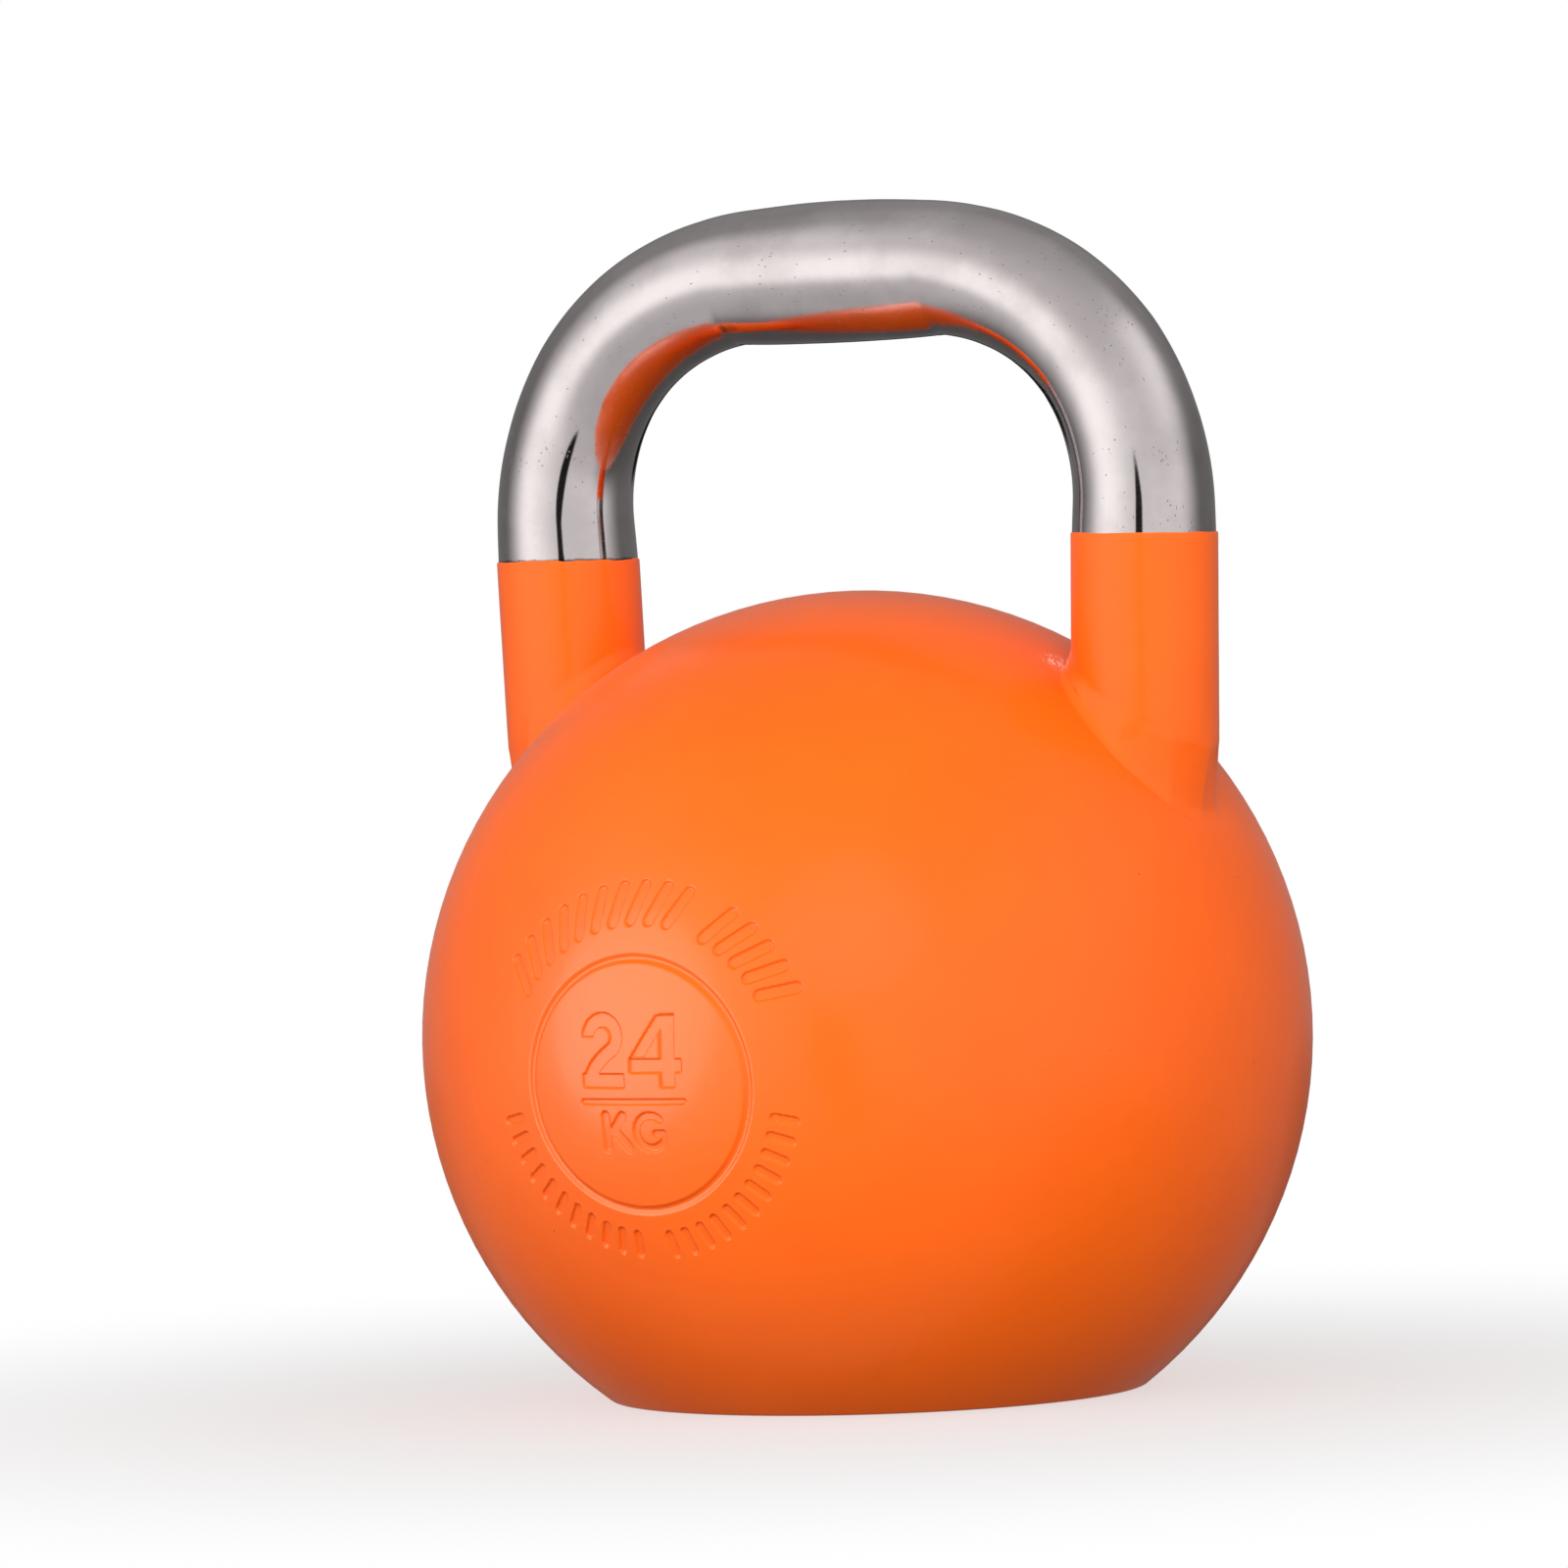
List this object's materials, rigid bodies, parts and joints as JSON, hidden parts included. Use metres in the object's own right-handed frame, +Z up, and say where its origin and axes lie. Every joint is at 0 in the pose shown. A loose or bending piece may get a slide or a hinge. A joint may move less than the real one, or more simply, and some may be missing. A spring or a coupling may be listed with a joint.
{
  "type": "kettlebell",
  "caption": "Steel ball with a flat foot and a bent, polished round-bar handle on two painted horns, for one-handed and two-handed lifting and swinging.",
  "frame": {"origin": "middle of the flat foot, on the plane that the kettlebell stands on", "axes": "+Z up, X along the handle's grip, -Y towards the side that carries the weight marking"},
  "size_m": [0.21, 0.21, 0.2809],
  "materials": {
    "orange_paint": "satin orange powder coat on steel",
    "polished_steel": "ground and polished bare steel with fine scratches and small pits",
    "bare_steel": "plain machined steel",
    "ballast": "set mineral and metal grit",
    "black_rubber": "matt"
  },
  "bodies": {
    "root": {"ball_shell": "orange_paint", "handle_bar": "polished_steel", "right_horn": "orange_paint", "left_horn": "orange_paint", "right_horn_weld": "orange_paint", "left_horn_weld": "orange_paint", "right_anchor_weld": "bare_steel", "left_anchor_weld": "bare_steel", "ballast_fill": "ballast", "base_plate": "orange_paint", "base_weld": "orange_paint", "filler_plug": "bare_steel", "plug_washer": "black_rubber"}
  },
  "joints": []
}
